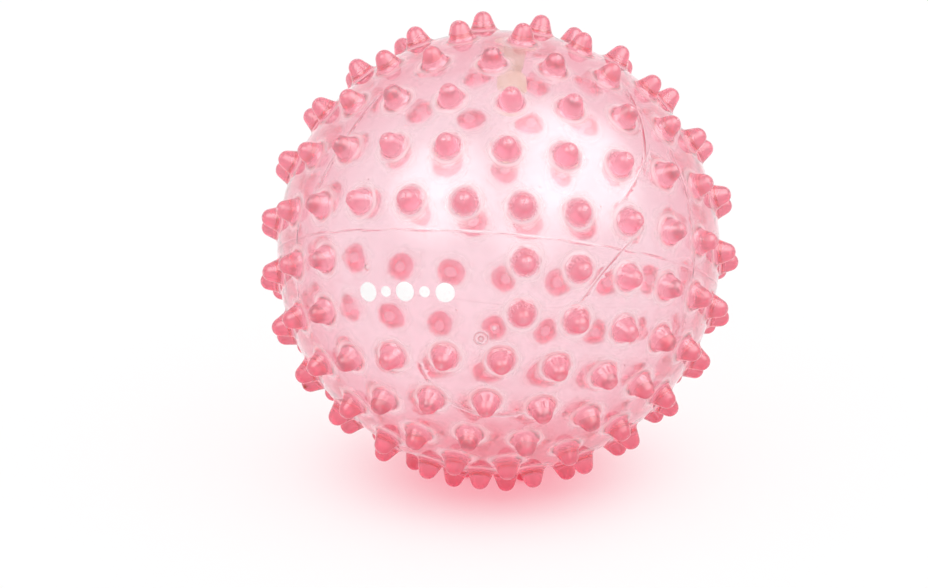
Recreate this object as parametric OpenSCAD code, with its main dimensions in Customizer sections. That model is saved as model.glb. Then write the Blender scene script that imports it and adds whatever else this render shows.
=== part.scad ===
/* [Skin] */
// Outside radius of the inflated skin between the knobs
skin_r = 92; // [84:0.5:105]
// Thickness of the skin
wall_t = 1.2; // [0.9:0.1:2]
// Distance of the moulding seam below the middle of the ball
seam_drop = 8; // [0:0.5:12]
// Width of the ridge that the mould leaves at the seam
ridge_w = 0.8; // [0.5:0.1:1.2]
// Height of that ridge above the skin
ridge_h = 0.2; // [0.1:0.05:0.3]

/* [Knobs] */
// Height of a knob above the skin
knob_h = 8; // [7:0.5:9.5]
// Radius of the round tip of a knob
knob_tip_r = 3.8; // [3.4:0.1:4]
// Radius of a knob where its side runs into the fillet
knob_root_r = 4.8; // [4.5:0.1:5.1]
// Radius of the fillet round the foot of a knob
knob_fillet_r = 3.2; // [2.6:0.1:3.4]
// Rows of knobs between the seam and each pole
knob_rows = 6; // [4:1:6]
// Distance between neighbouring knobs along a row
knob_spacing = 23.4; // [21:0.1:30]
// Depth of the dimple that moulding leaves inside, under each knob
dimple_depth = 2.4; // [1:0.1:3.5]
// Radius of that dimple
dimple_r = 2.6; // [2:0.1:3.2]

/* [Smooth field] */
// Width of the field that has no knobs
field_w = 66; // [60:1:72]
// Height of that field
field_h = 37; // [34:1:42]
// Distance of its middle below the seam
field_drop = 22; // [20:1:24]
// Distance of its middle to the left of the front
field_left = 35; // [32:1:38]

/* [Printed discs] */
// Number of discs in the row
disc_count = 5; // [3:2:7]
// Distance between the middles of neighbouring discs
disc_pitch = 8.6; // [8:0.1:9]
// Diameter of the large discs
disc_large_d = 8; // [5:0.5:8]
// Diameter of the small discs between them
disc_small_d = 4.5; // [3:0.5:6]
// Distance of the row below the seam
disc_drop = 25; // [23:0.5:27]
// Distance of its middle to the left of the front
disc_left = 40; // [38:0.5:41]
// Thickness of the ink
ink_t = 0.1; // [0.1:0.05:0.2]

/* [Mould mark] */
// Outside diameter of the raised ring
mark_d = 5.8; // [5:0.1:6.5]
// Width of that ring
mark_ring_w = 0.6; // [0.4:0.1:0.8]
// Diameter of the pip in the middle of the ring
mark_pip_d = 2.4; // [1.5:0.1:3]
// Height of the ring and the pip above the skin
mark_h = 0.3; // [0.2:0.05:0.5]
// Distance of the mark below the seam
mark_drop = 43.5; // [42.5:0.5:44.5]
// Distance of the mark to the left of the front
mark_left = 5; // [4:0.5:6]

/* [Valve sleeve] */
// Outside diameter of the tube
sleeve_d = 8.8; // [8.6:0.1:10]
// Length of the tube from the outside of the skin to the neck
sleeve_l = 13.5; // [12:0.5:18]
// Bore of the tube, which takes a pump nozzle once the plug is out
bore_d = 5.2; // [4:0.1:5.6]
// Diameter of the neck below the tube
neck_d = 7.4; // [7:0.1:8]
// Length of the neck
neck_l = 2.2; // [1.5:0.1:4]
// Diameter of the bulb at the inner end
bulb_d = 12.5; // [11:0.5:14]
// Length of the bulb
bulb_l = 9.6; // [8:0.1:12]
// Rounding of the bulb
bulb_edge_r = 3; // [1:0.1:3.6]
// Diameter of the air duct through the end of the bulb
duct_d = 2; // [1.5:0.1:2.5]
// Diameter of the flange that is bonded under the skin
flange_d = 17; // [14:0.5:18]
// Thickness of the flange
flange_t = 1.2; // [1:0.1:2]
// Diameter of the thick seat inside the skin, above the flange
seat_d = 20; // [19:0.5:24]
// Thickness of the seat
seat_t = 1.6; // [1:0.1:3]
// Gap between the tube and the hole through the skin
sleeve_gap = 0.05; // [0.02:0.01:0.1]

/* [Valve plug] */
// Diameter of the head
head_d = 7; // [6.4:0.1:7]
// Thickness of the head
head_t = 1.4; // [1.2:0.1:2]
// Length of the stem below the head
stem_l = 15; // [12:0.5:17]
// Gap round the stem in the bore
stem_gap = 0.1; // [0.05:0.01:0.15]
// Gap round the head in its recess
head_gap = 0.15; // [0.1:0.05:0.2]
// Rounding of the end of the stem
stem_edge_r = 0.8; // [0.4:0.1:1.2]
// Number of grooves round the stem
groove_count = 3; // [0:1:4]
// Width of a groove
groove_w = 1; // [0.5:0.1:1.5]
// Depth of a groove
groove_depth = 0.4; // [0.2:0.05:0.6]
// Width of the slot that a coin or a nail lifts the head by
slot_w = 1; // [0.6:0.1:1.4]
// Depth of that slot
slot_depth = 0.7; // [0.4:0.1:0.9]

/* [Hidden] */
$fn = 72;
// Facets round a circle of the ball itself
ball_fn = 192;

// How far a cut runs past what it cuts
overrun = 1;
// How deep a knob's fillet dips into the skin, so that the two cross at an angle
fillet_dip = 0.05;
// Side of the ball that lies on the floor, as a turn from the front
rest_turn = 175;
// Way that the valve leans, as a turn from the frame's +X
valve_turn = 81;
// Start of each row after the front, as a share of that row's step
upper_start_shares = [0.35, 0, 0, 0.65, 0.1, 0.4];
lower_start_shares = [0.48, 0.5, 0.2, 0, 0.75, 0.5];

// The angle at the ball's middle under a length along the skin
function arc_angle(length) = length / skin_r * 180 / PI;
function half_chord_z(r, x) = sqrt(r * r - x * x);

// Latitudes: both halves of the mould are alike, and inflating shifts the seam down
seam_lat = -asin(seam_drop / skin_r);
mould_pitch = 90 / (knob_rows + 0.5);
function mould_lat(k) = (k - 0.5) * mould_pitch;
function knob_lat(half, k) = seam_lat + half * mould_lat(k) * (90 - half * seam_lat) / 90;

// Longitudes: a row's knobs are spread evenly round it
function row_count(k) = round(360 / arc_angle(knob_spacing) * cos(mould_lat(k)));
function row_step(k) = 360 / row_count(k);
function start_share(half, k) = (half > 0 ? upper_start_shares : lower_start_shares)[k - 1];
function knob_lon(half, k, i) = (i + start_share(half, k)) * row_step(k);
function turn_between(a, b) = acos(cos(a - b));

// The smooth field leaves out the knobs whose middle would fall in it
field_lat = seam_lat - arc_angle(field_drop);
field_lon = -arc_angle(field_left);
function in_field(lat, lon) =
    abs(lat - field_lat) < arc_angle(field_h) / 2
    && turn_between(lon, field_lon) < arc_angle(field_w) / 2;

// Every knob as [latitude, longitude], with the last one at the lower pole
knob_places = [
    for (half = [1, -1], k = [1 : knob_rows], i = [0 : row_count(k) - 1])
        let (lat = knob_lat(half, k), lon = knob_lon(half, k, i))
        if (!in_field(lat, lon)) [lat, lon],
    [-90, 0]
];

// A knob's outline, as [distance from its axis, distance from the ball's middle].
// Its side is the line that touches both the tip's circle and the fillet's.
tip_z = skin_r + knob_h - knob_tip_r;
fillet_x = knob_root_r + knob_fillet_r;
fillet_z = half_chord_z(skin_r + knob_fillet_r - fillet_dip, fillet_x);
foot_z = half_chord_z(skin_r - wall_t / 2, fillet_x);
centres_apart = norm([fillet_x, fillet_z - tip_z]);
side_angle = atan2(fillet_z - tip_z, fillet_x) + acos((knob_tip_r + knob_fillet_r) / centres_apart);
side_normal = [cos(side_angle), sin(side_angle)];
side_top = [0, tip_z] + knob_tip_r * side_normal;
side_foot = [fillet_x, fillet_z] - knob_fillet_r * side_normal;

// Heights along the valve's axis, from the ball's middle
inner_r = skin_r - wall_t;
dimple_z = inner_r + dimple_depth - dimple_r;
seat_z = inner_r - seat_t;
crown_z = half_chord_z(skin_r, sleeve_d / 2);
tube_end_z = crown_z - sleeve_l;
bulb_top_z = tube_end_z - neck_l;
bulb_end_z = bulb_top_z - bulb_l;
recess_z = crown_z - head_t;
stem_end_z = recess_z - stem_l;
bore_end_z = stem_end_z - stem_edge_r;
stem_r = bore_d / 2 - stem_gap;
hole_r = sleeve_d / 2 + sleeve_gap;
recess_r = head_d / 2 + head_gap;
groove_pitch = stem_l / (groove_count + 1);

// The ball lies on one knob of the third row from the lower pole and two of the next
function on_ball(lat, lon) = [cos(lat) * cos(lon), cos(lat) * sin(lon), sin(lat)];
function lower_knob(k, i) = on_ball(knob_lat(-1, k), knob_lon(-1, k, i));
function place_in_row(k) = rest_turn / row_step(k) - start_share(-1, k);
rest_row = knob_rows - 2;
foot_i = floor(place_in_row(rest_row + 1));
foot_a = lower_knob(rest_row, round(place_in_row(rest_row)));
foot_b = lower_knob(rest_row + 1, foot_i);
foot_c = lower_knob(rest_row + 1, foot_i + 1);
feet_normal = cross(foot_b - foot_a, foot_c - foot_a);
down = feet_normal * sign(feet_normal * foot_a) / norm(feet_normal);
down_lat = asin(down[2]);
down_lon = atan2(down[1], down[0]);
rest_h = knob_tip_r + tip_z * max([for (p = knob_places) on_ball(p[0], p[1]) * down]);

// From the ball's own frame, +Z to the valve and +X to the front, to the frame it stands in
module stand() {
    translate([0, 0, rest_h]) rotate([0, 0, valve_turn]) rotate([0, 90 + down_lat, 0])
        rotate([0, 0, -down_lon]) children();
}

// Turns a shape that points along +Z to a latitude and longitude
module at_place(lat, lon) {
    rotate([0, 90 - lat, lon]) children();
}

module right_half(h) {
    intersection() {
        children();
        square([h, h]);
    }
}

module knob_outline() {
    difference() {
        union() {
            polygon([[0, foot_z], [fillet_x, foot_z], [fillet_x, fillet_z],
                side_foot, side_top, [0, tip_z]]);
            right_half(tip_z + knob_h) translate([0, tip_z]) circle(r = knob_tip_r);
        }
        translate([fillet_x, fillet_z]) circle(r = knob_fillet_r);
    }
}

module knob() {
    rotate_extrude() knob_outline();
}

module dimple() {
    translate([0, 0, dimple_z]) sphere(r = dimple_r);
}

// The ridge is the cap of a small round ring let into the skin
module seam_ridge() {
    ridge_r = (ridge_w * ridge_w / 4 + ridge_h * ridge_h) / (2 * ridge_h);
    ridge_middle = skin_r + ridge_h - ridge_r;
    rotate_extrude($fn = ball_fn) translate(ridge_middle * [cos(seam_lat), sin(seam_lat)])
        circle(r = ridge_r, $fn = ball_fn);
}

module mould_mark() {
    foot = skin_r - wall_t / 2;
    h = half_chord_z(skin_r, mark_d / 2) + mark_h - foot;
    at_place(seam_lat - arc_angle(mark_drop), -arc_angle(mark_left)) translate([0, 0, foot]) {
        difference() {
            cylinder(d = mark_d, h = h);
            translate([0, 0, -overrun]) cylinder(d = mark_d - 2 * mark_ring_w, h = h + 2 * overrun);
        }
        cylinder(d = mark_pip_d, h = h);
    }
}

module skin_outside() {
    union() {
        sphere(r = skin_r, $fn = ball_fn);
        seam_ridge();
    }
    for (p = knob_places) at_place(p[0], p[1]) knob();
    mould_mark();
}

module skin_inside() {
    difference() {
        sphere(r = inner_r, $fn = ball_fn);
        translate([0, 0, seat_z]) cylinder(d = seat_d, h = wall_t + seat_t);
    }
}

module ball_skin() {
    color("lightpink") stand() difference() {
        skin_outside();
        skin_inside();
        for (p = knob_places) at_place(p[0], p[1]) dimple();
        translate([0, 0, seat_z - overrun]) cylinder(r = hole_r, h = skin_r - seat_z + 2 * overrun);
    }
}

// Half of a round bar with rounded ends, from height z0 up to z1
module bar_outline(r, z0, z1, edge_r) {
    translate([0, z0]) square([r - edge_r, z1 - z0]);
    translate([0, z0 + edge_r]) square([r, z1 - z0 - 2 * edge_r]);
    for (z = [z0 + edge_r, z1 - edge_r]) translate([r - edge_r, z]) circle(r = edge_r);
}

module sleeve_outline() {
    translate([0, tube_end_z]) square([sleeve_d / 2, sleeve_l]);
    translate([0, seat_z - flange_t]) square([flange_d / 2, flange_t]);
    translate([0, bulb_top_z - overrun]) square([neck_d / 2, neck_l + 2 * overrun]);
    bar_outline(bulb_d / 2, bulb_end_z, bulb_top_z, bulb_edge_r);
}

module valve_sleeve() {
    color("wheat") stand() rotate_extrude() difference() {
        sleeve_outline();
        translate([0, recess_z]) square([recess_r, head_t + overrun]);
        translate([0, bore_end_z]) square([bore_d / 2, recess_z - bore_end_z + overrun]);
        translate([0, bulb_end_z - overrun]) square([duct_d / 2, bore_end_z - bulb_end_z + 2 * overrun]);
    }
}

module plug_outline() {
    translate([0, recess_z]) square([head_d / 2, head_t]);
    difference() {
        union() {
            bar_outline(stem_r, stem_end_z, recess_z, stem_edge_r);
            translate([0, recess_z - stem_edge_r - overrun]) square([stem_r, stem_edge_r + 2 * overrun]);
        }
        if (groove_count > 0) for (i = [1 : groove_count])
            translate([stem_r - groove_depth, recess_z - i * groove_pitch - groove_w / 2])
                square([groove_depth + overrun, groove_w]);
    }
}

module valve_plug() {
    color("ivory") stand() difference() {
        rotate_extrude() plug_outline();
        translate([-head_d, -slot_w / 2, crown_z - slot_depth])
            cube([2 * head_d, slot_w, slot_depth + overrun]);
    }
}

// A row of ink discs, large and small by turns, that lies on the smooth field
module window_print() {
    row_lat = seam_lat - arc_angle(disc_drop);
    middle = (disc_count - 1) / 2;
    color("white") stand() for (i = [0 : disc_count - 1]) intersection() {
        difference() {
            sphere(r = skin_r + ink_t, $fn = ball_fn);
            sphere(r = skin_r, $fn = ball_fn);
        }
        at_place(row_lat, (i - middle) * arc_angle(disc_pitch) / cos(row_lat) - arc_angle(disc_left))
            translate([0, 0, inner_r])
            cylinder(d = i % 2 == 0 ? disc_large_d : disc_small_d, h = wall_t + ink_t + overrun);
    }
}

ball_skin();
valve_sleeve();
valve_plug();
window_print();
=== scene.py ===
import math
import random

import bmesh
import bpy
from mathutils import Matrix, Vector, noise
from mathutils.geometry import delaunay_2d_cdt
from mathutils.kdtree import KDTree


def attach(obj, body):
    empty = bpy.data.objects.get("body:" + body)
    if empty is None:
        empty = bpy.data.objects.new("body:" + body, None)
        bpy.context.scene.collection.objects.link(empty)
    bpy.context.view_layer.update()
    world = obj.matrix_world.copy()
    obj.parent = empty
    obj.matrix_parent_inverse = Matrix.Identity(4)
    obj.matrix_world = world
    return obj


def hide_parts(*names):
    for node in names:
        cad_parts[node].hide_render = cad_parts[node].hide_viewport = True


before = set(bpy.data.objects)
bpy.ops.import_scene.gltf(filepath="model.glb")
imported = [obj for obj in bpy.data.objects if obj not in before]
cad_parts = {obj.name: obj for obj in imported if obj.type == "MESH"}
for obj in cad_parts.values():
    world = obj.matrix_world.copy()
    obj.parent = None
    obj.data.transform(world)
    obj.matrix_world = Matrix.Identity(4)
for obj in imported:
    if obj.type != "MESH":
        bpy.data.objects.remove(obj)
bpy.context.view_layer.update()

# Lengths are in millimetres up to the last step of each piece, which stands it in the frame
ball = {
    "skinRadius": 92,
    "wall": 1.2,
    "seamDrop": 8,
    "knobRows": 6,
    "knobSpacing": 23.4,
    "upperStarts": (0.35, 0, 0, 0.65, 0.1, 0.4),  # where each row begins, in shares of its step
    "lowerStarts": (0.48, 0.5, 0.2, 0, 0.75, 0.5),
    "fieldWidth": 66,  # the field without knobs
    "fieldHeight": 37,
    "fieldDrop": 22,
    "fieldLeft": 35,
    "restTurn": 175,  # side that lies on the floor
    "valveTurn": 81,  # way that the valve leans
}
knob = {
    "height": 8,
    "tipRadius": 3.8,
    "rootRadius": 4.8,
    "filletRadius": 3.2,
    "filletDip": 0.05,
    "segments": 24,
    "filletSteps": 5,
    "tipSteps": 5,
}


def arcAngle(length):
    return math.degrees(length / ball["skinRadius"])


def onBall(lat, lon, radius=1.0):
    lat, lon = math.radians(lat), math.radians(lon)
    return Vector((math.cos(lat) * math.cos(lon), math.cos(lat) * math.sin(lon), math.sin(lat))) * radius


def atPlace(lat, lon):  # turns a shape that points along +Z
    return Matrix.Rotation(math.radians(lon), 4, "Z") @ Matrix.Rotation(math.radians(90 - lat), 4, "Y")


seamLat = -math.degrees(math.asin(ball["seamDrop"] / ball["skinRadius"]))
mouldPitch = 90 / (ball["knobRows"] + 0.5)


def mouldLat(row):
    return (row - 0.5) * mouldPitch


def knobLat(half, row):
    return seamLat + half * mouldLat(row) * (90 - half * seamLat) / 90


def rowCount(row):
    return round(360 / arcAngle(ball["knobSpacing"]) * math.cos(math.radians(mouldLat(row))))


def knobLon(half, row, i):
    starts = ball["upperStarts"] if half > 0 else ball["lowerStarts"]
    return (i + starts[row - 1]) * 360 / rowCount(row)


def isSmooth(lat, lon):
    turn = math.remainder(lon + arcAngle(ball["fieldLeft"]), 360)
    drop = lat - seamLat + arcAngle(ball["fieldDrop"])
    return abs(drop) < arcAngle(ball["fieldHeight"]) / 2 and abs(turn) < arcAngle(ball["fieldWidth"]) / 2


knobPlaces = [
    (knobLat(half, row), knobLon(half, row, i))
    for half in (1, -1) for row in range(1, ball["knobRows"] + 1) for i in range(rowCount(row))
    if not isSmooth(knobLat(half, row), knobLon(half, row, i))
] + [(-90, 0)]


def standing():  # the ball lies on one knob of row 4 and two of row 5, below the seam
    def inRow(row):
        return ball["restTurn"] * rowCount(row) / 360 - ball["lowerStarts"][row - 1]

    row = ball["knobRows"] - 2
    first = math.floor(inRow(row + 1))
    feet = [onBall(knobLat(-1, r), knobLon(-1, r, i))
            for r, i in ((row, round(inRow(row))), (row + 1, first), (row + 1, first + 1))]
    down = (feet[1] - feet[0]).cross(feet[2] - feet[0]).normalized()
    down *= math.copysign(1, down.dot(feet[0]))
    reach = ball["skinRadius"] + knob["height"] - knob["tipRadius"]
    height = knob["tipRadius"] + reach * max(onBall(*place).dot(down) for place in knobPlaces)
    return (
        Matrix.Scale(0.001, 4) @ Matrix.Translation((0, 0, height))
        @ Matrix.Rotation(math.radians(ball["valveTurn"]), 4, "Z")
        @ Matrix.Rotation(math.pi / 2 + math.asin(down.z), 4, "Y")
        @ Matrix.Rotation(-math.atan2(down.y, down.x), 4, "Z")
    )


stand = standing()
ballMiddle = stand.translation.copy()
print("knobs:", len(knobPlaces), "middle of the ball:", [round(c, 5) for c in ballMiddle])


def addNode(tree, kind, props=None, values=None, links=None):
    node = tree.nodes.new("ShaderNode" + kind)
    for name, value in (props or {}).items():
        setattr(node, name, value)
    for name, value in (values or {}).items():
        node.inputs[name].default_value = value
    for name, source in (links or {}).items():
        tree.links.new(source, node.inputs[name])
    return node


def linear(code):  # from an sRGB hex colour
    parts = [int(code[i:i + 2], 16) / 255 for i in (1, 3, 5)]
    return [c / 12.92 if c <= 0.04045 else ((c + 0.055) / 1.055) ** 2.4 for c in parts] + [1]


def newMaterial(name):
    material = bpy.data.materials.new(name)
    material.use_nodes = True
    tree = material.node_tree
    tree.nodes.clear()
    return material, tree, tree.nodes.new("ShaderNodeOutputMaterial")


# Plasticised PVC, rotomoulded and dyed through: clear and glossy, a little milky, and pinker the more of it one
# looks through. The knobs are nearly solid, so they are coral where the skin between them is pale.
softPvc = {
    "thin": "#fdf6f8",
    # painted shade: the wall's colour low down and round the outline as the camera sees it
    "thinShaded": "#f6d1d9",
    "lowShadeShare": 0.2,
    # the way to the camera, round which the painted shade of the outline runs
    "rimShadeAxis": (0, -0.928, 0.373),
    "thick": "#f5a2b2",
    # painted shade: the knobs' colour low down
    "thickShaded": "#ea6a80",
    # painted shade along the folds, the seam's crest and the mark's edges
    "foldShade": "#c8405c",
    "paleMilk": "#fff0f2",
    "milk": "#f6a2b1",
    "ior": 1.53,
    "roughness": 0.04,
    "thinClear": 0.97,
    "thickClear": 0.6,
    "foldShadeClear": 0.1,
    # painted light: shares of the knobs' colour kept when seen from within and on their upper side
    "backlitShare": 0.1,
    "toplitShare": 0.65,
    "dye": (0.985, 0.62, 0.715),  # share of red, green and blue left after one absorbing length
    "dyeDensity": 225.0,  # per metre
    "shadowDye": 10.0,
    "thinShadow": "#fffefe",
    "thickShadow": "#fff7f8",
    "lowShadow": "#fbccd4",  # below the ball light passes more of it
    "lowEdges": (0.008, 0.042),
    "rippleScale": 130.0,
    "ripple": 0.00002,
}


def skinMaterial():
    material, tree, out = newMaterial("clear pink soft PVC")
    coords = addNode(tree, "TexCoord")
    path = addNode(tree, "LightPath")
    thickness, milkiness, foldShade = (addNode(tree, "Attribute", {"attribute_name": name}).outputs["Fac"]
                                  for name in ("bulk", "milk", "foldShade"))
    # Painted light: a knob seen from within is painted paler, as if the light were behind it
    facing = addNode(tree, "NewGeometry")
    lit = addNode(tree, "MapRange", values={"To Min": 1.0, "To Max": softPvc["backlitShare"]},
                  links={"Value": facing.outputs["Backfacing"]})
    # and the side of it that is turned up is painted paler, as if lit from above
    normal = addNode(tree, "SeparateXYZ", links={"Vector": facing.outputs["Normal"]})
    litFromAbove = addNode(tree, "MapRange", values={"From Min": -0.6, "From Max": 0.9, "To Min": 1.0,
                                               "To Max": softPvc["toplitShare"]}, links={"Value": normal.outputs["Z"]})
    # the knob's share below is its thickness with this painted light in it
    bulk = addNode(tree, "Math", {"operation": "MULTIPLY"}, links={0: thickness, 1: lit.outputs[0]})
    bulk = addNode(tree, "Math", {"operation": "MULTIPLY"}, links={0: bulk.outputs[0], 1: litFromAbove.outputs[0]}).outputs[0]
    # Painted shade: the wall is painted pinker towards the bottom and in a belt round the ball's outline as the camera
    # sees it, and the knobs pinker towards the bottom
    height = addNode(tree, "SeparateXYZ", links={"Vector": coords.outputs["Object"]})
    shadeBelow = addNode(tree, "MapRange", values={"From Min": 0.135, "From Max": 0.06}, links={"Value": height.outputs["Z"]})
    low = addNode(tree, "Math", {"operation": "MULTIPLY"}, {1: softPvc["lowShadeShare"]}, {0: shadeBelow.outputs["Result"]})
    axis, radius = Vector(softPvc["rimShadeAxis"]), 0.001 * ball["skinRadius"]
    along = addNode(tree, "VectorMath", {"operation": "DOT_PRODUCT"}, {1: axis}, {0: coords.outputs["Object"]})
    along = addNode(tree, "Math", {"operation": "SUBTRACT"}, {1: stand.translation.dot(axis)},
                    {0: along.outputs["Value"]})
    along = addNode(tree, "Math", {"operation": "ABSOLUTE"}, links={0: along.outputs[0]})
    # painted shade round the outline, strongest where the surface is side-on to the camera
    rimShade = addNode(tree, "MapRange", values={"From Min": 0.75 * radius, "From Max": 0.3 * radius},
                   links={"Value": along.outputs[0]})
    side = addNode(tree, "Math", {"operation": "MAXIMUM"}, links={0: low.outputs[0], 1: rimShade.outputs["Result"]})
    wall = addNode(tree, "Mix", {"data_type": "RGBA"}, {6: linear(softPvc["thin"]), 7: linear(softPvc["thinShaded"])},
                   {0: side.outputs[0]})
    knobs = addNode(tree, "Mix", {"data_type": "RGBA"}, {6: linear(softPvc["thick"]), 7: linear(softPvc["thickShaded"])},
                    {0: shadeBelow.outputs["Result"]})
    colour = addNode(tree, "Mix", {"data_type": "RGBA"}, links={0: bulk, 6: wall.outputs[2], 7: knobs.outputs[2]})
    # Painted shade: folds, the seam's crest and the mark's edges are painted a darker, less clear pink
    colour = addNode(tree, "Mix", {"data_type": "RGBA"}, {7: linear(softPvc["foldShade"])}, {0: foldShade, 6: colour.outputs[2]})
    clearness = addNode(tree, "MapRange", values={
        "To Min": softPvc["thinClear"], "To Max": softPvc["thickClear"]}, links={"Value": bulk})
    clearness = addNode(tree, "Mix", {"data_type": "FLOAT"}, {3: softPvc["foldShadeClear"]},
                        {0: foldShade, 2: clearness.outputs["Result"]})
    ripple = addNode(tree, "TexNoise", values={"Scale": softPvc["rippleScale"], "Detail": 2.0},
                     links={"Vector": coords.outputs["Object"]})
    bump = addNode(tree, "Bump", values={"Strength": 1.0, "Distance": softPvc["ripple"]},
                   links={"Height": ripple.outputs["Fac"]})
    pvc = addNode(tree, "BsdfPrincipled", values={
        "IOR": softPvc["ior"], "Roughness": softPvc["roughness"],
    }, links={"Base Color": colour.outputs[2], "Transmission Weight": clearness.outputs[0],
              "Normal": bump.outputs["Normal"]})
    milkColour = addNode(tree, "Mix", {"data_type": "RGBA"}, {
        6: linear(softPvc["paleMilk"]), 7: linear(softPvc["milk"])}, {0: bulk})
    milk = addNode(tree, "BsdfTranslucent", links={"Color": milkColour.outputs[2]})
    body = addNode(tree, "MixShader", links={"Fac": milkiness, 1: pvc.outputs["BSDF"], 2: milk.outputs["BSDF"]})
    tint = addNode(tree, "Mix", {"data_type": "RGBA"}, {
        6: linear(softPvc["thinShadow"]), 7: linear(softPvc["thickShadow"])}, {0: thickness})
    low = addNode(tree, "MapRange", {"interpolation_type": "SMOOTHSTEP"}, {
        "From Min": softPvc["lowEdges"][1], "From Max": softPvc["lowEdges"][0]}, {"Value": height.outputs["Z"]})
    tint = addNode(tree, "Mix", {"data_type": "RGBA"}, {7: linear(softPvc["lowShadow"])},
                   {0: low.outputs[0], 6: tint.outputs[2]})
    clear = addNode(tree, "BsdfTransparent", links={"Color": tint.outputs[2]})
    # Light on its way to the floor goes straight on
    passing = addNode(tree, "Math", {"operation": "MAXIMUM"}, links={
        0: path.outputs["Is Shadow Ray"], 1: path.outputs["Is Diffuse Ray"]})
    mix = addNode(tree, "MixShader", links={
        "Fac": passing.outputs[0], 1: body.outputs["Shader"], 2: clear.outputs["BSDF"]})
    density = addNode(tree, "MapRange", values={"To Min": softPvc["dyeDensity"], "To Max": softPvc["shadowDye"]},
                      links={"Value": passing.outputs[0]})
    dye = addNode(tree, "VolumeAbsorption", values={"Color": (*softPvc["dye"], 1)},
                  links={"Density": density.outputs["Result"]})
    tree.links.new(mix.outputs["Shader"], out.inputs["Surface"])
    tree.links.new(dye.outputs["Volume"], out.inputs["Volume"])
    return material


# Where the stuff is thick or milky round a knob: distances from its axis, and shares
jelly = {"coreEdge": 4.0, "coreEnd": 6.8, "tipShare": 0.72, "insideShare": 0.3, "coreMilk": 0.07, "halo": (5.4, 6.6, 7.6, 8.6),
         "haloMilk": 0.35}


def eased(value, first, last):
    share = min(1, max(0, (value - first) / (last - first)))
    return share * share * (3 - 2 * share)


def storeJelly(bm):
    bulk, milk = (bm.verts.layers.float[name] for name in ("bulk", "milk"))
    tree = treeOf([onBall(*place) for place in knobPlaces])
    rise, full, fall, end = jelly["halo"]
    for v in bm.verts:
        if v.co.length > ball["skinRadius"] - 2 * ball["wall"]:
            axis = tree.find(v.co.normalized())[0]
            along = v.co.dot(axis)
            aside = (v.co - axis * along).length
            core = 1 - eased(aside, jelly["coreEdge"], jelly["coreEnd"])
            if v.co.length < ball["skinRadius"] - 0.5 * ball["wall"]:
                core *= jelly["insideShare"]
            tip = eased(along - ball["skinRadius"], 6, knob["height"]) * (1 - eased(aside, 1, 2.3))
            v[bulk] = core * (1 - (1 - jelly["tipShare"]) * tip)
            halo = eased(aside, rise, full) * (1 - eased(aside, fall, end))
            v[milk] = jelly["coreMilk"] * core + jelly["haloMilk"] * halo


def finishMesh(bm, name, material, body, replaced=()):
    bmesh.ops.transform(bm, matrix=stand, verts=bm.verts)
    mesh = bpy.data.meshes.new(name)
    bm.to_mesh(mesh)
    bm.free()
    mesh.shade_smooth()
    piece = bpy.data.objects.new(name, mesh)
    bpy.context.scene.collection.objects.link(piece)
    mesh.materials.append(material)
    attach(piece, body)
    if replaced:
        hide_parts(*replaced)
    print(name, "faces:", len(mesh.polygons))
    return piece


def spun(points, segments):  # turns a line of (distance from the axis, height)
    bm = bmesh.new()
    line = [bm.verts.new((x, 0, z)) for x, z in points]
    edges = [bm.edges.new(pair) for pair in zip(line, line[1:])]
    bmesh.ops.spin(bm, geom=line + edges, cent=(0, 0, 0), axis=(0, 0, 1), angle=2 * math.pi,
                   steps=segments, use_merge=True, use_duplicate=False)
    bmesh.ops.remove_doubles(bm, verts=bm.verts, dist=0.0005)
    return bm


def spunMesh(points, segments):
    bm = spun(points, segments)
    mesh = bpy.data.meshes.new("shape")
    bm.to_mesh(mesh)
    bm.free()
    return mesh


def arc(middle, radius, first, last, steps):
    turns = [math.radians(first + (last - first) * i / steps) for i in range(steps + 1)]
    return [(middle[0] + radius * math.cos(t), middle[1] + radius * math.sin(t)) for t in turns]


def knobLine():  # from the foot up to the tip
    r, tip, fillet = ball["skinRadius"], knob["tipRadius"], knob["filletRadius"]
    tipZ = r + knob["height"] - tip
    x = knob["rootRadius"] + fillet
    z = math.sqrt((r + fillet - knob["filletDip"]) ** 2 - x * x)
    side = math.degrees(math.atan2(z - tipZ, x) + math.acos((tip + fillet) / math.hypot(x, z - tipZ)))
    away = math.hypot(x, z)
    swing = math.degrees(math.acos((away ** 2 + fillet ** 2 - r ** 2) / (2 * away * fillet)))
    inward = math.degrees(math.atan2(-z, -x)) % 360
    foot = arc((x, z), fillet, inward - swing, side + 180, knob["filletSteps"])
    return foot + arc((0, tipZ), tip, side, 90, knob["tipSteps"])


mark = {"ring": 5.8, "ringWidth": 0.6, "pip": 2.4, "height": 0.3, "flank": 0.12, "drop": 43.5, "left": 5,
        "foldShade": 1.0, "milk": 0.25, "surround": 4.3}


def markLine():
    outer, inner, pip = mark["ring"] / 2, mark["ring"] / 2 - mark["ringWidth"], mark["pip"] / 2
    flank, high = mark["flank"], mark["height"]
    steps = [(outer + flank, 0), (outer, high), (inner, high), (inner - flank, 0),
             (pip + flank, 0), (pip, high), (0, high)]
    return [(x, math.sqrt(ball["skinRadius"] ** 2 - x * x) + z) for x, z in steps]


valve = {
    "holeRadius": 4.45, "seatDiameter": 20, "seatThickness": 1.6,
    "sleeveDiameter": 8.8, "sleeveLength": 13.5, "bore": 5.2, "neckDiameter": 7.4, "neckLength": 2.2,
    "bulbDiameter": 12.5, "bulbLength": 9.6, "bulbEdge": 3, "duct": 2,
    "flangeDiameter": 17, "flangeThickness": 1.2,
    "headDiameter": 7, "headThickness": 1.4, "headGap": 0.15, "stemLength": 15, "stemGap": 0.1,
    "stemEdge": 0.8, "grooves": 3, "grooveWidth": 1, "grooveDepth": 0.4, "slotWidth": 1, "slotDepth": 0.7,
}


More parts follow.
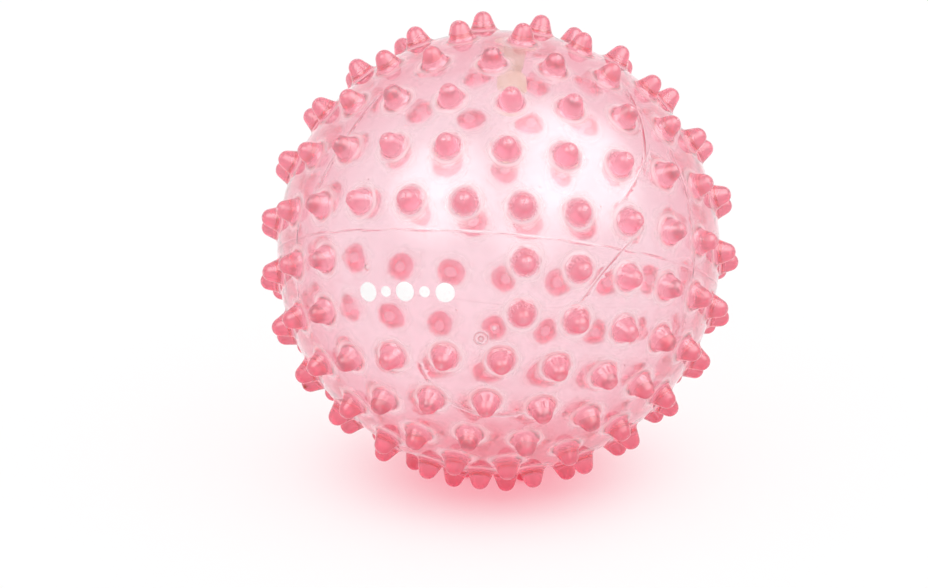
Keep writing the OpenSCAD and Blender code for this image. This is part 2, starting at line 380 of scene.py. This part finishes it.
def openRings(verts):  # the open edges of a shape as rings of verts in order, widest first
    edges = {e for v in verts for e in v.link_edges if e.is_boundary}
    rings = []
    while edges:
        step = edges.pop()
        ring, here = [step.verts[0]], step.verts[1]
        while here is not ring[0]:
            ring.append(here)
            step = next(e for e in here.link_edges if e in edges)
            edges.discard(step)
            here = step.other_vert(here)
            if here is ring[0]:
                break
        rings.append(ring)
    return sorted(rings, key=lambda ring: -math.hypot(ring[0].co.x, ring[0].co.y))


def stamp(bm, shape, places):  # sets a copy of the shape at each place and returns the rings they end in
    rims = []
    for lat, lon in places:
        start = len(bm.verts)
        bm.from_mesh(shape)
        bm.verts.ensure_lookup_table()
        new = bm.verts[start:]
        rims.append(openRings(new))
        turned = atPlace(lat, lon)
        for v in new:
            v.co = turned @ v.co
    return rims


def ringAt(bm, lat, radius, count):
    return [bm.verts.new(onBall(lat, 360 * i / count, radius)) for i in range(count)]


def treeOf(points):
    tree = KDTree(len(points))
    for i, p in enumerate(points):
        tree.insert(p, i)
    tree.balance()
    return tree


def scatter(bm, radius, gap, half, keepOff):  # loose verts at an even gap, clear of what is there
    count = round(4 * math.pi * (radius / gap) ** 2 / 0.87)
    found = []
    for i in range(count):
        lat = math.degrees(math.asin(1 - (2 * i + 1) / count))
        p = onBall(lat, (i * 137.50776405) % 360, radius)
        if (lat - seamLat) * half > 0 and all(tree.find(p)[2] > clear for tree, clear in keepOff):
            found.append(bm.verts.new(p))
    return found


def bindSheet(bm, half, rim, holes, singles):
    # Fills one half of the ball between its rim, the holes' edges and the loose verts.
    # The half is laid flat by the projection that keeps circles round.
    corners = [v for group in [rim] + holes for v in group] + singles
    number = {v: i for i, v in enumerate(corners)}
    flat = [Vector((v.co.x, v.co.y)) / (v.co.length + half * v.co.z) for v in corners]
    ties = [(number[a], number[b]) for loop in [rim] + holes for a, b in zip(loop, loop[1:] + loop[:1])]
    holeOf = {v: n for n, loop in enumerate(holes) for v in loop}
    _, _, trios, origins, _, _ = delaunay_2d_cdt(flat, ties, [], 0, 1e-7)
    for trio in trios:
        trioVerts = [corners[origins[i][0]] for i in trio]
        within = {holeOf.get(v) for v in trioVerts}
        if len(within) > 1 or None in within:
            bm.faces.new(trioVerts)


# Folds that the ball keeps from lying flat in its box. Each is a cut across the skin by the plane of three places.
# Each fold's crest is raised and painted darker, as painted shade in the fold.
creases = {
    "thick": {"through": ((47.5, 44.9), (32, 43.1), (20, 40.6)), "width": 1.7, "height": 0.2, "foldShade": 1.0},
    "tail": {"through": ((20.5, 40.9), (14.5, 36.8), (4, 29)), "width": 0.8, "height": 0.08, "foldShade": 0.4},
    "low": {"through": ((-3, 34.5), (-9.9, 29.2), (-21.5, 22.5)), "width": 0.7, "height": 0.08, "foldShade": 0.8},
    "bow": {"through": ((-44, -22), (-55.5, -1), (-43, 27)), "width": 0.7, "height": 0.08, "foldShade": 0.45},
    "right": {"through": ((25, 53), (2.5, 59.3), (-22, 64)), "width": 0.7, "height": 0.08, "foldShade": 0.6},
    "left": {"through": ((35, -44.8), (20, -49.6), (6, -56.5)), "width": 2.4, "height": 0.2, "foldShade": 0.65},
    "streak": {"through": ((2, -64), (-10.3, -65.3), (-23, -69)), "width": 0.7, "height": 0.1, "foldShade": 0.2},
}


def addCrease(bm, crease):
    stops = [onBall(lat, lon, ball["skinRadius"]) for lat, lon in crease["through"]]
    way = (stops[1] - stops[0]).cross(stops[2] - stops[0]).normalized()
    level = stops[0].dot(way)
    middle = (stops[1] - way * level).normalized()

    def turn(p):
        return (p - way * p.dot(way)).angle(middle)

    ends = max(turn(stops[0]), turn(stops[2]))

    def close(p, room):
        return p.length > ball["skinRadius"] - 0.5 * ball["wall"] and abs(p.dot(way) - level) < room and turn(p) < ends

    faces = [f for f in bm.faces if close(f.verts[0].co, 5)]
    parts = list(set(faces) | {e for f in faces for e in f.edges} | {v for f in faces for v in f.verts})
    crest = set()
    for shift in (-0.5, 0.5, -0.2, 0.2):
        cut = bmesh.ops.bisect_plane(bm, geom=parts, dist=0.0002, plane_co=way * (level + shift * crease["width"]),
                                     plane_no=way)
        parts = cut["geom"]
        if abs(shift) < 0.5:
            crest |= {v for v in cut["geom_cut"] if isinstance(v, bmesh.types.BMVert)}
    # the crest is painted darker: painted shade in the fold
    layer = bm.verts.layers.float["foldShade"]
    for v in crest:
        fade = math.cos(math.pi / 2 * min(1, turn(v.co) / ends)) ** 0.5
        v.co += v.co.normalized() * crease["height"] * fade
        v[layer] = crease["foldShade"] * fade


def skinSurface(bm, radius, half, rimLat, rimCount, holes, footRadius, gap):
    keepOff = []
    if footRadius:
        keepOff.append((treeOf([onBall(lat, lon, radius) for lat, lon in knobPlaces]), footRadius + 0.8))
    if holes:
        last = sum((v.co for v in holes[-1]), Vector()) / len(holes[-1])
        keepOff += [(treeOf([last]), (holes[-1][0].co - last).length + 0.8),
                    (treeOf([v.co for hole in holes for v in hole]), gap * 0.5)]
    rim = ringAt(bm, rimLat, radius, rimCount)
    bindSheet(bm, half, rim, holes, scatter(bm, radius, gap, half, keepOff + [(treeOf([v.co for v in rim]), gap * 0.6)]))
    return rim


seam = {"width": 0.4, "height": 0.05, "count": 288, "shoulder": 0.6, "foldShade": 0.25}
skinGap = 3.0
innerGap = 4.0
# The casting's inner side is never quite even, which bends what one sees through it
waves = {"lengths": (12, 12, 28), "height": 0.13, "seatEdge": 13}


def joinRings(bm, rings):
    for a, b in zip(rings, rings[1:]):
        for i, v in enumerate(a):
            j = (i + 1) % len(a)
            bm.faces.new((v, a[j], b[j], b[i]))


# Small bubbles of air that the stuff keeps from the casting: flat ones that are seen in the wall (place and size),
# how many more lie about in it, and those near the tip of each knob.
bubbles = {"seen": ((-14.3, -36, 1.5), (-29.1, 0.5, 1.0), (-24.9, -10.4, 0.5), (-8, 17.7, 0.5), (5, 25.6, 0.5)),
           "flatness": 0.28, "more": 36, "small": 0.16, "large": 0.4, "depth": 0.6,
           "seenMilk": 0.3, "perKnob": 3, "tipSmall": 0.22, "tipLarge": 0.42, "tipDepth": (0.6, 1.1), "tipSpread": 2.6, "tipMilk": 0.8}


def addBubble(bm, shape, place, size, milkiness=0.0):
    start = len(bm.verts)
    bm.from_mesh(shape)
    bm.verts.ensure_lookup_table()
    milk = bm.verts.layers.float["milk"]
    for v in bm.verts[start:]:
        v.co = place @ (v.co * size)
        v[milk] = milkiness


def bubbleShape(steps, flatness):
    bm = bmesh.new()
    bmesh.ops.create_icosphere(bm, subdivisions=steps, radius=1)
    bmesh.ops.reverse_faces(bm, faces=bm.faces)
    bmesh.ops.scale(bm, vec=(1, 1, flatness), verts=bm.verts)
    shape = bpy.data.meshes.new("bubble")
    bm.to_mesh(shape)
    bm.free()
    return shape


def addBubbles(bm):
    chance = random.Random(7)
    wide, small = bubbleShape(2, bubbles["flatness"]), bubbleShape(1, 1)
    within = Matrix.Translation((0, 0, ball["skinRadius"] - bubbles["depth"]))
    for lat, lon, size in bubbles["seen"]:
        addBubble(bm, wide, atPlace(lat, lon) @ within, size, bubbles["seenMilk"])
    for _ in range(bubbles["more"]):
        turned = atPlace(math.degrees(math.asin(chance.uniform(-1, 0.98))), chance.uniform(-180, 180))
        addBubble(bm, small, turned @ within, chance.uniform(bubbles["small"], bubbles["large"]))
    tip = knob["tipRadius"]
    for lat, lon in knobPlaces:
        for _ in range(bubbles["perKnob"]):
            aside, turn = chance.uniform(0.3, bubbles["tipSpread"]), chance.uniform(0, 2 * math.pi)
            up = ball["skinRadius"] + knob["height"] - tip + math.sqrt(tip ** 2 - aside ** 2)
            spot = (aside * math.cos(turn), aside * math.sin(turn), up - chance.uniform(*bubbles["tipDepth"]))
            addBubble(bm, small, atPlace(lat, lon) @ Matrix.Translation(spot),
                      chance.uniform(bubbles["tipSmall"], bubbles["tipLarge"]), bubbles["tipMilk"])


# The dark edge on the mark's rings is painted shade.
def edgeMark(bm, place):  # the mark's ring has a thin dark edge and a milky surround
    axis = onBall(*place)
    foldShade, milk = (bm.verts.layers.float[name] for name in ("foldShade", "milk"))
    for v in bm.verts:
        if v.co.dot(axis) > ball["skinRadius"] - 0.3:
            aside = (v.co - axis * v.co.dot(axis)).length
            if aside < mark["surround"]:
                v[milk] = mark["milk"]
            if abs(aside - mark["ring"] / 2) < 0.01 or abs(aside - mark["pip"] / 2) < 0.01:
                v[foldShade] = mark["foldShade"]


def makeWaves(bm):
    inner = ball["skinRadius"] - ball["wall"]
    for v in bm.verts:
        if abs(v.co.length - inner) < 0.01:
            off = eased(math.hypot(v.co.x, v.co.y) if v.co.z > 0 else inner, waves["seatEdge"], waves["seatEdge"] + 8)
            v.co *= 1 + off * waves["height"] / inner * noise.noise(Vector([c / wide for c, wide in zip(v.co, waves["lengths"])]))


def makeSkin():
    bm = bmesh.new()
    for name in ("bulk", "milk", "foldShade"):
        bm.verts.layers.float.new(name)
    outer, inner = ball["skinRadius"], ball["skinRadius"] - ball["wall"]
    halves = [(half, [p for p in knobPlaces if (p[0] - seamLat) * half > 0]) for half in (1, -1)]
    knobShape, markShape = spunMesh(knobLine(), knob["segments"]), spunMesh(markLine(), 24)
    markPlace = (seamLat - arcAngle(mark["drop"]), -arcAngle(mark["left"]))
    hole, seatZ = valve["holeRadius"], inner - valve["seatThickness"]
    seatR = valve["seatDiameter"] / 2
    seatShape = spunMesh([(seatR, math.sqrt(inner ** 2 - seatR ** 2)), (seatR - 0.2, seatZ), (hole, seatZ)], 48)
    mouth = ringAt(bm, math.degrees(math.acos(hole / outer)), outer, 48)
    footRadius = knobLine()[0][0]
    rims = []
    for half, places in halves:
        holes = [rings[0] for rings in stamp(bm, knobShape, places)]
        for ring in holes:
            for a, b in zip(ring, ring[1:] + ring[:1]):
                bm.edges.get((a, b)).smooth = False
        holes.append(mouth if half > 0 else stamp(bm, markShape, [markPlace])[0][0])
        away = arcAngle(seam["width"] / 2 + seam["shoulder"])
        rims.append(skinSurface(bm, outer, half, seamLat + half * away, seam["count"], holes, footRadius, skinGap))
    ridge = []
    # the seam's crest is painted a little darker: painted shade
    for across, high in ((1, 0), (0.5, 0.7), (0, 1), (-0.5, 0.7), (-1, 0)):
        lat = seamLat + across * arcAngle(seam["width"] / 2)
        ridge.append(ringAt(bm, lat, outer + high * seam["height"], seam["count"]))
        for v in ridge[-1]:
            v[bm.verts.layers.float["foldShade"]] = high * seam["foldShade"]
    joinRings(bm, [rims[0]] + ridge + [rims[1]])
    seatRings = stamp(bm, seatShape, [(90, 0)])[0]
    inside = ringAt(bm, seamLat, inner, seam["count"] // 2)
    for half, holes in ((1, [seatRings[0]]), (-1, [])):
        skinSurface(bm, inner, half, seamLat, seam["count"] // 2, holes, 0, innerGap)
    bmesh.ops.delete(bm, geom=inside, context="VERTS")
    joinRings(bm, [mouth, seatRings[1]])
    bmesh.ops.remove_doubles(bm, verts=bm.verts, dist=0.0005)
    bmesh.ops.recalc_face_normals(bm, faces=bm.faces)
    makeWaves(bm)
    storeJelly(bm)
    edgeMark(bm, markPlace)
    for crease in creases.values():
        addCrease(bm, crease)
    addBubbles(bm)
    bm.normal_update()
    for edge in bm.edges:
        if edge.is_manifold and edge.calc_face_angle() > math.radians(35):
            edge.smooth = False
    print("skin open edges:", sum(not e.is_manifold for e in bm.edges), "volume:", round(bm.calc_volume()))
    return finishMesh(bm, "skin", skinMaterial(), "ball", ("ball_skin",))


skin = makeSkin()


def softened(bm, width, segments=2):  # rounds the sharp edges
    bm.normal_update()
    sharp = [e for e in bm.edges if e.is_manifold and e.calc_face_angle(0) > math.radians(35)]
    bmesh.ops.bevel(bm, geom=sharp, offset=width, offset_type="OFFSET", segments=segments, profile=0.5,
                    affect="EDGES", clamp_overlap=True, material=-1)


# Flexible PVC of the valve's body, moulded by itself and bonded in: creamy, and a little light goes into it
creamPvc = {"base": "#fff6ec", "deep": "#f9ead9", "glow": 0.5, "ior": 1.53, "roughness": 0.38, "cloudScale": 160.0,
            "grainScale": 1400.0}


def sleeveMaterial():
    material, tree, out = newMaterial("cream flexible PVC")
    coords = addNode(tree, "TexCoord")
    cloud = addNode(tree, "TexNoise", values={"Scale": creamPvc["cloudScale"], "Detail": 3.0},
                    links={"Vector": coords.outputs["Object"]})
    tone = addNode(tree, "MapRange", values={"From Min": 0.35, "From Max": 0.65},
                   links={"Value": cloud.outputs["Fac"]})
    colour = addNode(tree, "Mix", {"data_type": "RGBA"}, {6: linear(creamPvc["base"]), 7: linear(creamPvc["deep"])},
                     {0: tone.outputs["Result"]})
    grain = addNode(tree, "TexNoise", values={"Scale": creamPvc["grainScale"], "Detail": 1.0},
                    links={"Vector": coords.outputs["Object"]})
    bump = addNode(tree, "Bump", values={"Strength": 0.15, "Distance": 0.0001},
                   links={"Height": grain.outputs["Fac"]})
    pvc = addNode(tree, "BsdfPrincipled", values={"IOR": creamPvc["ior"], "Roughness": creamPvc["roughness"]},
                  links={"Base Color": colour.outputs[2], "Normal": bump.outputs["Normal"]})
    glow = addNode(tree, "BsdfTranslucent", links={"Color": colour.outputs[2]})
    mix = addNode(tree, "MixShader", values={"Fac": creamPvc["glow"]}, links={
        1: pvc.outputs["BSDF"], 2: glow.outputs["BSDF"]})
    tree.links.new(mix.outputs["Shader"], out.inputs["Surface"])
    return material


def valveHeights():
    heights = {"crown": math.sqrt(ball["skinRadius"] ** 2 - (valve["sleeveDiameter"] / 2) ** 2)}
    heights["seat"] = ball["skinRadius"] - ball["wall"] - valve["seatThickness"]
    heights["tubeEnd"] = heights["crown"] - valve["sleeveLength"]
    heights["bulbTop"] = heights["tubeEnd"] - valve["neckLength"]
    heights["bulbEnd"] = heights["bulbTop"] - valve["bulbLength"]
    heights["recess"] = heights["crown"] - valve["headThickness"]
    heights["stemEnd"] = heights["recess"] - valve["stemLength"]
    heights["boreEnd"] = heights["stemEnd"] - valve["stemEdge"]
    return heights


at = valveHeights()


def makeSleeve():
    tube, flange, neck = valve["sleeveDiameter"] / 2, valve["flangeDiameter"] / 2, valve["neckDiameter"] / 2
    bulb, edge, bore = valve["bulbDiameter"] / 2, valve["bulbEdge"], valve["bore"] / 2
    recess, duct = valve["headDiameter"] / 2 + valve["headGap"], valve["duct"] / 2
    line = [(recess, at["crown"]), (tube, at["crown"]), (tube, at["seat"]), (flange, at["seat"]),
            (flange, at["seat"] - valve["flangeThickness"]), (tube, at["seat"] - valve["flangeThickness"]),
            (tube, at["tubeEnd"]), (neck, at["tubeEnd"]), (neck, at["bulbTop"])]
    line += arc((bulb - edge, at["bulbTop"] - edge), edge, 90, 0, 6)
    line += arc((bulb - edge, at["bulbEnd"] + edge), edge, 0, -90, 6)
    line += [(duct, at["bulbEnd"]), (duct, at["boreEnd"]), (bore, at["boreEnd"]), (bore, at["recess"]),
             (recess, at["recess"]), (recess, at["crown"])]
    bm = spun(line, 48)
    bmesh.ops.recalc_face_normals(bm, faces=bm.faces)
    softened(bm, 0.12)
    return finishMesh(bm, "sleeve", sleeveMaterial(), "ball", ("valve_sleeve",))


# Natural polyethylene of the plug: paler, waxy, with a soft sheen
waxyPe = {"base": "#f1ead9", "deep": "#e7dcc4", "ior": 1.51, "roughness": 0.3, "cloudScale": 260.0,
          "grainScale": 1900.0}


def plugMaterial():
    material, tree, out = newMaterial("natural polyethylene")
    coords = addNode(tree, "TexCoord")
    cloud = addNode(tree, "TexNoise", values={"Scale": waxyPe["cloudScale"], "Detail": 2.0},
                    links={"Vector": coords.outputs["Object"]})
    tone = addNode(tree, "MapRange", values={"From Min": 0.4, "From Max": 0.7},
                   links={"Value": cloud.outputs["Fac"]})
    colour = addNode(tree, "Mix", {"data_type": "RGBA"}, {6: linear(waxyPe["base"]), 7: linear(waxyPe["deep"])},
                     {0: tone.outputs["Result"]})
    grain = addNode(tree, "TexNoise", values={"Scale": waxyPe["grainScale"], "Detail": 1.0},
                    links={"Vector": coords.outputs["Object"]})
    bump = addNode(tree, "Bump", values={"Strength": 0.1, "Distance": 0.0001},
                   links={"Height": grain.outputs["Fac"]})
    wax = addNode(tree, "BsdfPrincipled", values={"IOR": waxyPe["ior"], "Roughness": waxyPe["roughness"]},
                  links={"Base Color": colour.outputs[2], "Normal": bump.outputs["Normal"]})
    tree.links.new(wax.outputs["BSDF"], out.inputs["Surface"])
    return material


def makePlug():
    head, stem = valve["headDiameter"] / 2, valve["bore"] / 2 - valve["stemGap"]
    waist, wide = stem - valve["grooveDepth"], valve["grooveWidth"] / 2
    pitch = valve["stemLength"] / (valve["grooves"] + 1)
    line = [(0, at["crown"]), (head, at["crown"]), (head, at["recess"]), (stem, at["recess"])]
    for i in range(valve["grooves"]):
        z = at["recess"] - (i + 1) * pitch
        line += [(stem, z + wide), (waist, z + wide), (waist, z - wide), (stem, z - wide)]
    edge = valve["stemEdge"]
    line += arc((stem - edge, at["stemEnd"] + edge), edge, 0, -90, 4) + [(0, at["stemEnd"])]
    bm = spun(line, 48)
    side, floor = valve["slotWidth"] / 2, at["crown"] - valve["slotDepth"]
    for middle, way in (((0, side, 0), (0, 1, 0)), ((0, -side, 0), (0, 1, 0)), ((0, 0, floor), (0, 0, 1))):
        bmesh.ops.bisect_plane(bm, geom=bm.verts[:] + bm.edges[:] + bm.faces[:], dist=0.0001,
                               plane_co=middle, plane_no=way)
    middles = {f: f.calc_center_median() for f in bm.faces}
    gone = [f for f, m in middles.items() if abs(m.y) < side and m.z > floor + 0.001]
    bmesh.ops.delete(bm, geom=gone, context="FACES")
    for part in (lambda c: abs(c.y - side) < 0.001 and c.z > floor - 0.001,
                 lambda c: abs(c.y + side) < 0.001 and c.z > floor - 0.001,
                 lambda c: abs(c.z - floor) < 0.001 and abs(c.y) < side + 0.001):
        bmesh.ops.contextual_create(bm, geom=[v for v in bm.verts if part(v.co)])
    bmesh.ops.recalc_face_normals(bm, faces=bm.faces)
    softened(bm, 0.08)
    print("plug open edges:", sum(not e.is_manifold for e in bm.edges))
    return finishMesh(bm, "plug", plugMaterial(), "plug", ("valve_plug",))


# Pad-printed white ink: flat and nearly opaque, a little thin in spots
whiteInk = {"base": "#fffefe", "thin": "#fff4f5", "ior": 1.48, "roughness": 0.35, "spotScale": 900.0}
discs = {"count": 5, "pitch": 8.6, "large": 8, "small": 4.5, "drop": 25, "left": 40, "thickness": 0.1, "lift": 0.01}


def inkMaterial():
    material, tree, out = newMaterial("white pad-printing ink")
    coords = addNode(tree, "TexCoord")
    spots = addNode(tree, "TexNoise", values={"Scale": whiteInk["spotScale"], "Detail": 3.0},
                    links={"Vector": coords.outputs["Object"]})
    tone = addNode(tree, "MapRange", values={"From Min": 0.55, "From Max": 0.75},
                   links={"Value": spots.outputs["Fac"]})
    colour = addNode(tree, "Mix", {"data_type": "RGBA"}, {6: linear(whiteInk["base"]), 7: linear(whiteInk["thin"])},
                     {0: tone.outputs["Result"]})
    ink = addNode(tree, "BsdfPrincipled", values={"IOR": whiteInk["ior"], "Roughness": whiteInk["roughness"]},
                  links={"Base Color": colour.outputs[2]})
    tree.links.new(ink.outputs["BSDF"], out.inputs["Surface"])
    return material


def makePrint():
    bm = bmesh.new()
    low, high = ball["skinRadius"] + discs["lift"], ball["skinRadius"] + discs["thickness"]
    rowLat = seamLat - arcAngle(discs["drop"])
    for i in range(discs["count"]):
        wide = discs["small" if i % 2 else "large"] / 2
        steps = [wide * share for share in (0, 0.35, 0.7, 0.97)]
        line = [(x, math.sqrt(high ** 2 - x * x)) for x in steps] + [(wide, math.sqrt(high ** 2 - wide ** 2) - 0.03)]
        line += [(x, math.sqrt(low ** 2 - x * x)) for x in [wide] + steps[::-1]]
        shape = spunMesh(line, 40)
        lon = (i - (discs["count"] - 1) / 2) * arcAngle(discs["pitch"]) / math.cos(math.radians(rowLat))
        stamp(bm, shape, [(rowLat, lon - arcAngle(discs["left"]))])
    bmesh.ops.recalc_face_normals(bm, faces=bm.faces)
    return finishMesh(bm, "printed_discs", inkMaterial(), "ball", ("window_print",))


# A speck of stray pigment cast into one knob: matt and opaque, red-brown with darker grains
speck = {"at": (-38.04, -102.76, 98.52), "size": 0.9, "base": "#bd4a3c", "grain": "#96352d", "roughness": 0.5,
         "grainScale": 1500.0}


def speckMaterial():
    material, tree, out = newMaterial("red-brown pigment grain")
    coords = addNode(tree, "TexCoord")
    grains = addNode(tree, "TexNoise", values={"Scale": speck["grainScale"]}, links={"Vector": coords.outputs["Object"]})
    colour = addNode(tree, "Mix", {"data_type": "RGBA"}, {6: linear(speck["base"]), 7: linear(speck["grain"])},
                     {0: grains.outputs["Fac"]})
    pigment = addNode(tree, "BsdfPrincipled", values={"Roughness": speck["roughness"]},
                      links={"Base Color": colour.outputs[2]})
    tree.links.new(pigment.outputs["BSDF"], out.inputs["Surface"])
    return material


def makeSpeck():
    bm = bmesh.new()
    bmesh.ops.create_icosphere(bm, subdivisions=3, radius=speck["size"])
    bmesh.ops.translate(bm, vec=onBall(*speck["at"]), verts=bm.verts)
    return finishMesh(bm, "speck", speckMaterial(), "ball")


makeSleeve()
makePlug()
makePrint()
makeSpeck()

# Floor, camera and light
stage = {"size": 6, "floor": "#fbfafa", "distance": 2.4, "elevation": 21.9,
         "frameWidth": 928, "frameHeight": 588, "pixelsPerMillimetre": 2.405, "ballAt": (498.55, 251.4)}


def makeFloor():
    bm = bmesh.new()
    bmesh.ops.create_grid(bm, x_segments=2, y_segments=2, size=stage["size"] / 2)
    mesh = bpy.data.meshes.new("floor")
    bm.to_mesh(mesh)
    bm.free()
    floor = bpy.data.objects.new("floor", mesh)
    bpy.context.scene.collection.objects.link(floor)
    material, tree, out = newMaterial("white paper sweep")
    paper = addNode(tree, "BsdfDiffuse", values={"Color": linear(stage["floor"])})
    tree.links.new(paper.outputs["BSDF"], out.inputs["Surface"])
    mesh.materials.append(material)


def makeCamera():
    tilt = math.radians(stage["elevation"])
    right, up = Vector((1, 0, 0)), Vector((0, math.sin(tilt), math.cos(tilt)))
    toCamera = Vector((0, -math.cos(tilt), math.sin(tilt)))
    perPixel = 0.001 / stage["pixelsPerMillimetre"]
    aside = (stage["ballAt"][0] - stage["frameWidth"] / 2) * perPixel
    above = (stage["frameHeight"] / 2 - stage["ballAt"][1]) * perPixel
    data = bpy.data.cameras.new("camera")
    data.sensor_width = 36
    data.lens = data.sensor_width * stage["distance"] / (stage["frameWidth"] * perPixel)
    camera = bpy.data.objects.new("camera", data)
    bpy.context.scene.collection.objects.link(camera)
    place = ballMiddle - right * aside - up * above + toCamera * stage["distance"]
    camera.matrix_world = Matrix.Translation(place) @ Matrix.Rotation(math.pi / 2 - tilt, 4, "X")
    bpy.context.scene.camera = camera
    return right, up, toCamera


# Light comes from the white room, brighter above, and from two big softboxes, soft spots of the world's own light
room = {"low": 0.54, "high": 0.88, "white": 1.0, "through": 1.035, "mirrored": 1.0,
        "boxesOnObject": 0.2, "boxesThroughObject": 0.1}
softboxes = {
    "right": {"toward": (0.58, 0.67, 0.46), "inner": 12, "outer": 40, "strength": 5.0, "core": 6, "hot": 0.5},
    "left": {"toward": (-0.489, 0.512, 0.706), "inner": 7, "outer": 33, "strength": 4.8, "core": 4, "hot": 1.2},
    "front": {"toward": (0.26, 0.3, 0.918), "inner": 6, "outer": 30, "strength": 2.6, "core": 0.5, "hot": 0.0},
}


def makeLight(axes):
    world = bpy.data.worlds.new("studio")
    bpy.context.scene.world = world
    world.use_nodes = True
    tree = world.node_tree
    tree.nodes.clear()
    coords = addNode(tree, "TexCoord")
    glow = None
    for box in softboxes.values():
        way = sum((axis * share for axis, share in zip(axes, box["toward"])), Vector()).normalized()
        facing = addNode(tree, "VectorMath", {"operation": "DOT_PRODUCT"}, {1: way},
                         {0: coords.outputs["Generated"]})
        spot = addNode(tree, "MapRange", {"interpolation_type": "SMOOTHSTEP"}, {
            "From Min": math.cos(math.radians(box["outer"])), "From Max": math.cos(math.radians(box["inner"])),
            "To Max": box["strength"]}, {"Value": facing.outputs["Value"]})
        core = addNode(tree, "MapRange", {"interpolation_type": "SMOOTHSTEP"}, {
            "From Min": math.cos(math.radians(box["core"] * 1.5)), "From Max": math.cos(math.radians(box["core"])),
            "To Max": box["hot"]}, {"Value": facing.outputs["Value"]})
        spot = addNode(tree, "Math", {"operation": "ADD"}, links={0: spot.outputs[0], 1: core.outputs[0]})
        glow = spot.outputs[0] if glow is None else addNode(
            tree, "Math", {"operation": "ADD"}, links={0: glow, 1: spot.outputs[0]}).outputs[0]
    path = addNode(tree, "LightPath")
    sight = addNode(tree, "Math", {"operation": "MAXIMUM"}, links={
        0: path.outputs["Is Camera Ray"], 1: path.outputs["Is Transmission Ray"]})
    clear = addNode(tree, "Math", {"operation": "SUBTRACT", "use_clamp": True}, links={
        0: sight.outputs[0], 1: path.outputs["Diffuse Depth"]})
    height = addNode(tree, "SeparateXYZ", links={"Vector": coords.outputs["Generated"]})
    steep = addNode(tree, "Math", {"operation": "MULTIPLY"}, links={0: height.outputs["Z"], 1: height.outputs["Z"]})
    dome = addNode(tree, "MapRange", values={"To Min": room["low"], "To Max": room["high"]},
                   links={"Value": steep.outputs[0]})
    mirrored = addNode(tree, "Math", {"operation": "MULTIPLY"}, {1: room["mirrored"]},
                       {0: path.outputs["Is Glossy Ray"]})
    dome = addNode(tree, "Math", {"operation": "MAXIMUM"}, links={0: dome.outputs[0], 1: mirrored.outputs[0]})
    share = addNode(tree, "MapRange", values={"To Min": room["boxesOnObject"], "To Max": 1.0},
                    links={"Value": path.outputs["Is Glossy Ray"]})
    lit = addNode(tree, "Math", {"operation": "MULTIPLY_ADD"}, links={0: glow, 1: share.outputs[0],
                                                                      2: dome.outputs[0]})
    light = addNode(tree, "Background", links={"Strength": lit.outputs[0]})
    seen = addNode(tree, "Math", {"operation": "MULTIPLY"}, {1: room["boxesThroughObject"]},
                   {0: path.outputs["Is Transmission Ray"]})
    behind = addNode(tree, "MapRange", values={"To Min": room["white"], "To Max": room["through"]},
                     links={"Value": path.outputs["Is Transmission Ray"]})
    seen = addNode(tree, "Math", {"operation": "MULTIPLY_ADD"}, links={
        0: glow, 1: seen.outputs[0], 2: behind.outputs[0]})
    white = addNode(tree, "Background", links={"Strength": seen.outputs[0]})
    light.inputs["Color"].default_value = white.inputs["Color"].default_value = (1, 1, 1, 1)
    mix = addNode(tree, "MixShader", links={"Fac": clear.outputs[0], 1: light.outputs[0], 2: white.outputs[0]})
    out = tree.nodes.new("ShaderNodeOutputWorld")
    tree.links.new(mix.outputs[0], out.inputs["Surface"])


makeFloor()
makeLight(makeCamera())
bpy.context.scene.view_settings.view_transform = "Standard"
paths = bpy.context.scene.cycles  # light passes many clear walls, one behind the other
paths.max_bounces = paths.transmission_bounces = paths.glossy_bounces = 32
paths.transparent_max_bounces = 48
